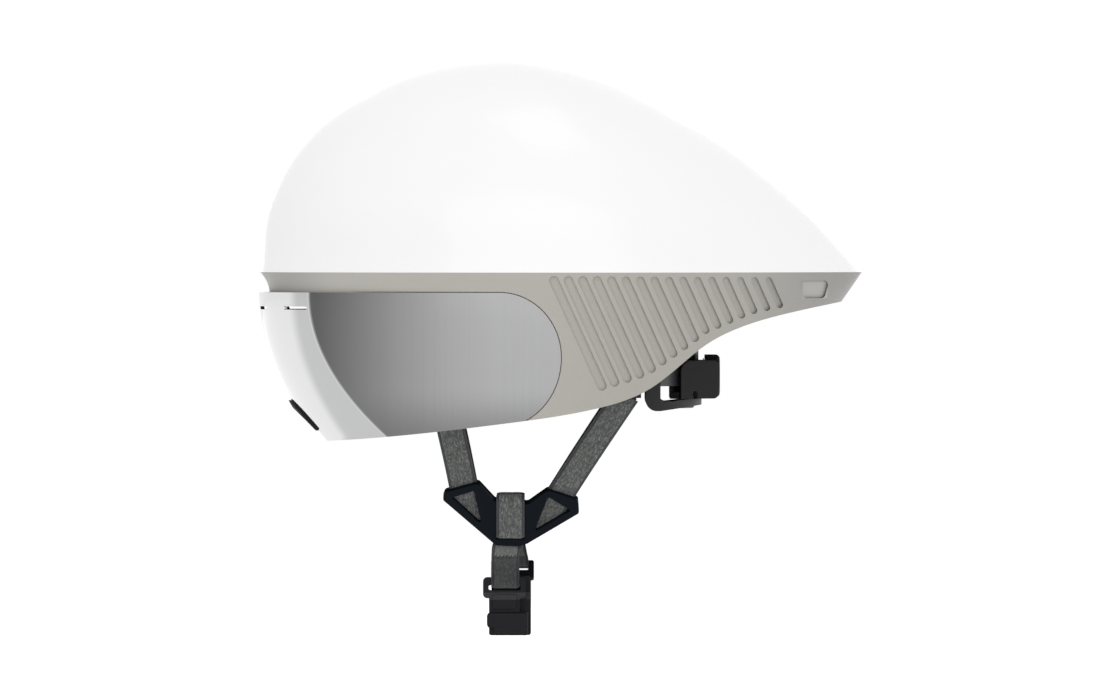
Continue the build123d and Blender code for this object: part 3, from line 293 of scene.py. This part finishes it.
def stuffed(name, source, grain, body, channels=(), wall=outward):
    """Foam in fabric: the solid is remeshed, blown up as cloth, held to its wall and sewn through."""
    blank = bpy.data.objects.new("blank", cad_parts[source].data.copy())
    bpy.context.scene.collection.objects.link(blank)
    remesh = blank.modifiers.new("remesh", "REMESH")
    remesh.mode = "VOXEL"
    remesh.voxel_size = grain
    mesh = meshed(blank)
    bpy.data.objects.remove(blank)
    starts = [v.co - v.normal * skin_inset for v in mesh.vertices]
    for vertex, start in zip(mesh.vertices, starts):
        vertex.co = start
    blown = bpy.data.objects.new("blown", mesh)
    bpy.context.scene.collection.objects.link(blown)
    cloth = blown.modifiers.new("cloth", "CLOTH")
    cloth.settings.quality = 4
    cloth.settings.mass = 0.05
    cloth.settings.use_pressure = True
    cloth.settings.uniform_pressure_force = 4.0
    cloth.settings.tension_stiffness = 8.0
    cloth.settings.compression_stiffness = 8.0
    cloth.settings.effector_weights.gravity = 0.0
    for step in range(1, 15):
        bpy.context.scene.frame_set(step)
    mesh = meshed(blown)
    bpy.data.objects.remove(blown)
    bpy.context.scene.frame_set(1)
    for vertex, start in zip(mesh.vertices, starts):
        way = wall(start)
        move = vertex.co - start
        into_wall = move.dot(way)
        if into_wall > 0:
            move -= way * into_wall
        if move.length > most_swell:
            move *= most_swell / move.length
        vertex.co = start + move
    for axis, spot in channels:
        for vertex in mesh.vertices:
            way = wall(vertex.co)
            if vertex.normal.dot(way) < -0.2:
                off = (vertex.co[axis] - spot) / seam_width
                vertex.co += way * seam_depth * math.exp(-off * off)
    piece = new_piece(name, mesh, knit, None)
    rounding = piece.modifiers.new("rounding", "SUBSURF")
    rounding.levels = rounding.render_levels = 1
    piece.data = meshed(piece)
    piece.modifiers.clear()
    for face in piece.data.polygons:
        face.use_smooth = True
    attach(piece, body)
    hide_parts(source)
    return piece


stuffed("brow_cushion", "brow_pad", pad_grain, "helmet", [(1, y) for y in (-0.045, -0.016, 0.016, 0.045)])
stuffed("crown_cushion", "crown_pad", pad_grain, "helmet", [(0, x) for x in (-0.018, 0.005, 0.028)])
stuffed("rear_cushion", "rear_pad", pad_grain, "helmet", [(1, y) for y in (-0.013, 0.013)])
left_cushion = stuffed("side_cushion_left", "side_pad_left", pad_grain, "helmet",
                       [(0, x) for x in (-0.007, 0.017)])
mirrored = left_cushion.data.copy()
for vertex in mirrored.vertices:
    vertex.co.y = -vertex.co.y
mirrored.flip_normals()
right_cushion = new_piece("side_cushion_right", mirrored, knit, "helmet")
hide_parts("side_pad_right")

# Strap anchors: black moulded bars, set in the foam, that the webbing is looped round.
nylon = moulded("moulded_nylon", (0.010, 0.010, 0.011), (0.021, 0.021, 0.023), 0.46, 1900.0, 0.22,
                Specular_IOR_Level=0.2)
dress(nylon, "front_strap_anchors", "rear_strap_anchors")

# Front and rear straps: woven polyester webbing, heathered grey with dark selvedges. Each hangs
# from its anchor in the foam and ends in a stitched loop behind the divider.
webbing_width, webbing_thickness = 0.0146, 0.0012
weave, bsdf, coords = new_finish("heathered_webbing", 0.8, Sheen_Weight=0.25)
across_uv = node(weave, "SeparateXYZ", {0: coords["UV"]}).outputs
threads = node(weave, "Mapping", {0: coords["UV"], 3: (30.0, 11.0, 1.0)}).outputs[0]
fleck = node(weave, "TexVoronoi", {"Vector": threads, "Scale": 1.0}).outputs["Color"]
fleck = node(weave, "SeparateColor", {0: fleck}).outputs[0]
weave_colour = ramp(weave, fleck, [
    (0.0, (0.034, 0.037, 0.038)), (0.42, (0.086, 0.094, 0.092)),
    (0.74, (0.156, 0.164, 0.156)), (1.0, (0.297, 0.297, 0.272)),
])
cloudy = speckle(weave, node(weave, "Mapping", {0: coords["UV"], 3: (2.0, 1.2, 1.0)}).outputs[0], 2.0)
cloudy = reckon(weave, "MULTIPLY", cloudy, 0.5)
weave_colour = blend_colour(weave, cloudy, weave_colour, (0.074, 0.078, 0.076))
from_middle = reckon(weave, "ABSOLUTE", reckon(weave, "SUBTRACT", across_uv[0], 0.5))
selvedge = smooth_step(weave, from_middle, 0.385, 0.41)
sewn_top, sewn_bottom, sewn_fade = -0.1412, -0.1474, 0.0008
height = node(weave, "SeparateXYZ", {0: coords["Object"]}).outputs[2]
# Painted shade: the webbing below the sewn part is painted darker.
painted_strap_shade = reckon(weave, "MULTIPLY", smooth_step(weave, height, sewn_bottom, sewn_bottom - sewn_fade), 0.72)
weave_colour = blend_colour(weave, painted_strap_shade, weave_colour, (0.020, 0.024, 0.023))
# Painted light: the band over the sewn part is painted lighter.
sewn_band_light = reckon(weave, "MULTIPLY", smooth_step(weave, height, sewn_top, sewn_top - sewn_fade),
                    smooth_step(weave, height, sewn_bottom - sewn_fade, sewn_bottom))
sewn_band_light = reckon(weave, "MULTIPLY", sewn_band_light, 0.35)
weave_colour = blend_colour(weave, sewn_band_light, weave_colour, (0.235, 0.235, 0.218))
weave_colour = blend_colour(weave, selvedge, weave_colour, (0.006, 0.008, 0.013))
warp = reckon(weave, "SINE", reckon(weave, "MULTIPLY", across_uv[0], 150.0))
weft = reckon(weave, "SINE", reckon(weave, "MULTIPLY", across_uv[1], 190.0))
paint(weave, bsdf, weave_colour, None, reckon(weave, "MULTIPLY", warp, weft), 0.6, 0.0003)


def webbing(name, path, across, body):
    """A woven strap along a path, thinner at its rounded selvedges, with its weave laid along it."""
    steps = 12
    outline = []
    for side in (1, -1):
        for step in range(steps + 1):
            s = side * (step / steps - 0.5)
            swell = (1 - abs(2 * s) ** 6) ** 0.5 * (1 - 0.12 * math.cos(2 * math.pi * s) ** 2)
            outline.append((s, side * swell * 0.5))
    ring = len(outline)
    spots, runs, length = [], [], 0.0
    for i, here in enumerate(path):
        ahead_of = path[min(i + 1, len(path) - 1)]
        behind = path[max(i - 1, 0)]
        length += (here - path[i - 1]).length if i else 0.0
        run = (ahead_of - behind).normalized()
        up = run.cross(across).normalized()
        level = up.cross(run).normalized()
        for s, t in outline:
            spots.append(here + level * s * webbing_width + up * t * webbing_thickness)
        runs.append(length)
    faces = []
    for i in range(len(path) - 1):
        for j in range(ring):
            k = (j + 1) % ring
            faces.append((i * ring + j, i * ring + k, (i + 1) * ring + k, (i + 1) * ring + j))
    faces += [tuple(range(ring))[::-1], tuple((len(path) - 1) * ring + j for j in range(ring))]
    mesh = bpy.data.meshes.new(name)
    mesh.from_pydata([tuple(p) for p in spots], [], faces)
    mesh.update()
    laid = mesh.uv_layers.new(name="weave")
    for loop in mesh.loops:
        i, j = divmod(loop.vertex_index, ring)
        laid.data[loop.index].uv = (outline[j][0] + 0.5, runs[i] / webbing_width)
    return new_piece(name, mesh, weave, body)


tilt = math.atan2(0.071, 0.091)
strap_up = Vector((0, -math.sin(tilt), math.cos(tilt)))
strap_out = Vector((0, -math.cos(tilt), -math.sin(tilt)))


def on_strap(x, z, out, side):
    """A side-view place on the left or right strap plane, raised off it by a distance."""
    spot = Vector((0, -0.076, -0.066)) + strap_up * (z + 0.066) / math.cos(tilt) + strap_out * out
    return Vector((x, spot.y * side, spot.z))


def cut_back(piece, spot, way):
    """The piece without what lies beyond a plane, with the cut closed."""
    shape = bmesh.new()
    shape.from_mesh(piece.data)
    everything = shape.verts[:] + shape.edges[:] + shape.faces[:]
    cut = bmesh.ops.bisect_plane(shape, geom=everything, plane_co=spot, plane_no=way, clear_outer=True)
    rim = [item for item in cut["geom_cut"] if isinstance(item, bmesh.types.BMEdge)]
    bmesh.ops.edgeloop_fill(shape, edges=rim)
    shape.to_mesh(piece.data)
    shape.free()


for side_name, side in (("left", 1), ("right", -1)):
    out = Vector((0, strap_out.y * side, strap_out.z))
    for which, x, depth, slope, top, end, low_front, low_back in (
        ("front", -0.0282, 0.0822, 0.2056, 0.066, 0.137, (-0.02829, -0.1180), (-0.0103, -0.1330)),
        ("rear", 0.0607, 0.0672, -0.643, 0.0645, 0.142, (0.0110, -0.1374), (0.03125, -0.1265)),
    ):
        path = []
        for step in range(21):
            share = step / 20
            at = top + (end - top) * share
            bow = 0.0007 * math.sin(math.pi * share) * (1 if which == "front" else -1)
            path.append(on_strap(x + slope * (at - depth) + bow, -at, -0.0008, side))
        run = (path[-1] - path[0]).normalized()
        strap = webbing(f"{which}_webbing_{side_name}", path, run.cross(out), "helmet")
        corner = on_strap(*low_front, -0.0008, side)
        along_edge = on_strap(*low_back, -0.0008, side) - corner
        below = along_edge.cross(out)
        cut_back(strap, corner, below if below.z < 0 else -below)
        if which == "rear":
            cut_back(strap, corner, Vector((-1, 0, 0)))
        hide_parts(f"{which}_strap_{side_name}")

# Strap dividers: flat dark-navy plates in stiff plastic with softly rounded edges. The webbing
# of the front and rear straps shows through their two windows.
divider_plastic = moulded("divider_plastic", (0.003, 0.005, 0.008), (0.006, 0.009, 0.014), 0.5, 1400.0, 0.2,
                          Specular_IOR_Level=0.06)
dress(divider_plastic, "strap_divider_left", "strap_divider_right")

# Chin straps: the same webbing, folded over the divider's top edge and through its slot. The
# left one runs on over the ladder's bar into its window, and a sewn layer doubles it above.


def eased(points, rounds=3):
    """Corners cut off again and again until the line is smooth."""
    for _ in range(rounds):
        cut = [points[0]]
        for a, b in zip(points, points[1:]):
            cut += [a * 0.75 + b * 0.25, a * 0.25 + b * 0.75]
        points = cut + [points[-1]]
    return points


def chin_run(side, tail):
    """The fold over the divider and through its slot, down to the given last places."""
    x = 0.0029
    fold, slot = -0.11606, -0.13642
    route = [(fold - 0.0022, -0.0008), (fold, -0.0008), (fold + 0.0012, 0.0011), (fold, 0.003),
             (fold - 0.004, 0.003), (slot + 0.003, 0.003), (slot + 0.0006, 0.003),
             (slot - 0.0004, 0.0011), (slot - 0.0016, -0.0008), (slot - 0.004, -0.0008)]
    points = [on_strap(x, z, out, side) for z, out in route]
    return eased(points + [Vector((x, y * side, z)) for x, y, z in tail])


across_x = Vector((1, 0, 0))
near_tail = [(0.0006, -0.0157, -0.1420), (0.0003, -0.0130, -0.1462), (0.0002, -0.0098, -0.1502),
             (0.0002, -0.0085, -0.1540), (0.0002, -0.00815, -0.1575), (0.0002, -0.0082, -0.1612),
             (0.0002, -0.0078, -0.1632), (0.0002, -0.0060, -0.1640), (0.0002, -0.0030, -0.1641)]
near_strap = webbing("chin_webbing_left", chin_run(1, near_tail), across_x, None)
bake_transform(near_strap)
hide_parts("chin_strap_left", "chin_strap_end")
far_tail = [(0.0042, -0.0122, -0.1472), (0.0048, -0.0104, -0.1494), (0.0050, -0.0090, -0.1515),
            (0.0050, -0.0079, -0.1528)]
far_strap = webbing("chin_webbing_right", chin_run(-1, far_tail), across_x, "helmet")
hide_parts("chin_strap_right")
sewn_places = [(0.0010, -0.1413), (0.0008, -0.1430), (0.0005, -0.1450),
               (0.0004, -0.1466), (0.0004, -0.1472)]
webbing("sewn_layer", [on_strap(x, z, 0.0005, 1) for x, z in sewn_places], across_x, "helmet")


def stitches(name, starts, run, across, body, length, radius):
    """A row of short thread beads, each laid slantwise over the edge that it holds."""
    spots, faces = [], []
    up = run.cross(across).normalized()
    for start in starts:
        base = len(spots)
        for share, girth in ((-0.5, 0.15), (-0.38, 0.8), (0.0, 1.0), (0.38, 0.8), (0.5, 0.15)):
            for turn in range(6):
                angle = math.pi * turn / 3
                ring_way = across * math.cos(angle) + up * math.sin(angle)
                spots.append(start + run * share * length + ring_way * radius * girth)
        for ring in range(base, base + 24, 6):
            for j in range(6):
                k = (j + 1) % 6
                faces.append((ring + j, ring + k, ring + 6 + k, ring + 6 + j))
        faces += [tuple(base + j for j in range(6))[::-1], tuple(base + 24 + j for j in range(6))]
    mesh = bpy.data.meshes.new(name)
    mesh.from_pydata([tuple(p) for p in spots], [], faces)
    return new_piece(name, mesh, thread, body)


thread = moulded("waxed_thread", (0.006, 0.007, 0.009), (0.014, 0.015, 0.018), 0.6, 4000.0, 0.4)
row = []
for index in range(13):
    zig = 0.0004 if index % 2 else -0.0004
    row.append(on_strap(0.0004 - 0.006 + index * 0.001, -0.1471 + zig, 0.0010, 1))
stitches("fold_stitches", row, (strap_up + across_x * 0.5).normalized(), across_x, "helmet", 0.0016, 0.0003)

# Buckle: two halves in black glass-filled nylon that slide into each other and are held by
# magnets. The near half has a ladder frame, a cross-hatched thumb grip and a release lip.
hatched, bsdf, coords = new_finish("buckle_nylon", 0.45, Specular_IOR_Level=0.14)
place = node(hatched, "SeparateXYZ", {0: coords["Object"]}).outputs
hatch_rate = 6200.0
ridges = []
for way in ("ADD", "SUBTRACT"):
    slant = reckon(hatched, "MULTIPLY", reckon(hatched, way, place[0], place[2]), hatch_rate)
    ridges.append(reckon(hatched, "SINE", slant))
hatch = reckon(hatched, "MAXIMUM", *ridges)
strip = reckon(hatched, "MULTIPLY", smooth_step(hatched, place[2], -0.1705, -0.1701),
               smooth_step(hatched, place[2], -0.1663, -0.1667))
fine = speckle(hatched, coords["Object"], 1700.0)
relief = reckon(hatched, "MULTIPLY", hatch, strip)
relief = reckon(hatched, "ADD", relief, reckon(hatched, "MULTIPLY", fine, 0.2))
buckle_colour = blend_colour(hatched, fine, (0.005, 0.005, 0.007), (0.011, 0.011, 0.014))
lit_ridge = reckon(hatched, "MULTIPLY", strip, reckon(hatched, "MAXIMUM", hatch, 0.0))
lit_ridge = reckon(hatched, "MULTIPLY", lit_ridge, 0.55)
buckle_colour = blend_colour(hatched, lit_ridge, buckle_colour, (0.13, 0.13, 0.135))
buckle_rough = reckon(hatched, "MULTIPLY_ADD", fine, 0.12, 0.38)
paint(hatched, bsdf, buckle_colour, buckle_rough, relief, 0.5, 0.0003, 0.0006)
dress(hatched, "buckle_tongue", "buckle_socket", "tongue_grip")

# Height stem: a black nylon rail at the back of the cavity, held in the foam by two pins. It is
# moulded in the same nylon as the strap anchors.
dress(nylon, "height_stem", "stem_pins")

# Nape cradle: a black nylon housing and cover, screwed together round the belts' rear ends. It
# rides on the stem and carries the dial and the band below it.
cradle_nylon = moulded("cradle_nylon", (0.007, 0.007, 0.008), (0.013, 0.013, 0.015), 0.5, 1300.0, 0.18,
                       0.0008, Specular_IOR_Level=0.14)
dress(cradle_nylon, "cradle_housing", "housing_cover")
dress(nylon, "nape_band")


def away_from_axis(spot):
    """The way from the cradle's upright axis towards the band that the nape pads lie on."""
    return Vector((spot.x - 0.02, spot.y, 0)).normalized()


stuffed("nape_cushions", "nape_pads", nape_grain, "cradle", wall=away_from_axis)

# Dial: a black nylon knob in a ribbed rubber ring, with a steel screw through it into the
# pinion's shaft.
dress(nylon, "dial_knob", "dial_pinion")
dress(rubber, "dial_grip")

# Sizing belts and temple guides: thin grey nylon bands with toothed slots, whose front ends
# slide through black guides set in the foam.
belt_nylon = moulded("belt_nylon", (0.050, 0.050, 0.053), (0.082, 0.082, 0.086), 0.42, 1100.0, 0.15)
dress(belt_nylon, "belt_left", "belt_right")
dress(nylon, "temple_guide_left", "temple_guide_right")

# Studio: a plain pale floor below the hanging helmet, a broad soft light from the camera's side
# and an even white surround.
floor_level, floor_reach = -0.25, 12.0
mesh = bpy.data.meshes.new("studio_floor")
corners = [(-1, -1), (1, -1), (1, 1), (-1, 1)]
mesh.from_pydata([(x * floor_reach, y * floor_reach, floor_level) for x, y in corners], [], [(0, 1, 2, 3)])
pale, bsdf, coords = new_finish("pale_floor", 0.9)
floor_tone = speckle(pale, coords["Object"], 3.0)
paint(pale, bsdf, blend_colour(pale, floor_tone, (0.86, 0.86, 0.86), (0.88, 0.88, 0.88)))
rays = node(pale, "LightPath").outputs
seen = reckon(pale, "MAXIMUM", rays["Is Camera Ray"],
              reckon(pale, "MAXIMUM", rays["Is Glossy Ray"], rays["Is Transmission Ray"]))
glow = node(pale, "Emission", {"Color": (1, 1, 1, 1), "Strength": reckon(pale, "MULTIPLY", seen, 0.31)})
both = node(pale, "AddShader", {0: bsdf.outputs[0], 1: glow.outputs[0]})
pale.node_tree.links.new(both.outputs[0], pale.node_tree.nodes["Material Output"].inputs["Surface"])
mesh.materials.append(pale)
floor = bpy.data.objects.new("studio_floor", mesh)
bpy.context.scene.collection.objects.link(floor)

surround = bpy.data.worlds.new("studio_surround")
surround.use_nodes = True
bpy.context.scene.world = surround
rays = node(surround, "LightPath").outputs
seen = reckon(surround, "MAXIMUM", rays["Is Camera Ray"],
              reckon(surround, "MAXIMUM", rays["Is Glossy Ray"], rays["Is Transmission Ray"]))
backdrop = surround.node_tree.nodes["Background"]
backdrop.inputs["Color"].default_value = (1, 1, 1, 1)
surround.node_tree.links.new(reckon(surround, "MULTIPLY_ADD", seen, 0.2, 0.8), backdrop.inputs["Strength"])


def soft_light(name, place, aim, size, power):
    lamp = bpy.data.lights.new(name, "AREA")
    lamp.shape = "RECTANGLE"
    lamp.size, lamp.size_y = size
    lamp.energy = power
    holder = bpy.data.objects.new(name, lamp)
    bpy.context.scene.collection.objects.link(holder)
    holder.location = place
    holder.rotation_euler = (Vector(aim) - Vector(place)).to_track_quat("-Z", "Y").to_euler()


soft_light("near_softbox", (0.1, -3.2, 0.9), (0.03, 0.0, 0.0), (3.9, 2.8), 26.0)
soft_light("top_softbox", (0.4, -0.6, 2.8), (0.03, 0.0, 0.0), (1.6, 1.4), 5.0)
soft_light("far_softbox", (0.0, 3.4, 1.2), (0.03, 0.0, 0.0), (3.2, 2.6), 20.0)

scene = bpy.context.scene
scene.view_settings.view_transform = "Standard"
view_width, far_away, look_down = 0.58188, 10.0, math.radians(0.4)
lens = bpy.data.cameras.new("photo_camera")
lens.sensor_width = 36.0
lens.lens = 36.0 * far_away / view_width
lens.clip_end = 60.0
eye = bpy.data.objects.new("photo_camera", lens)
scene.collection.objects.link(eye)
eye.location = (0.02834, -far_away * math.cos(look_down), -0.0377 + far_away * math.sin(look_down))
eye.rotation_euler = (math.radians(90) - look_down, 0, 0)
scene.camera = eye
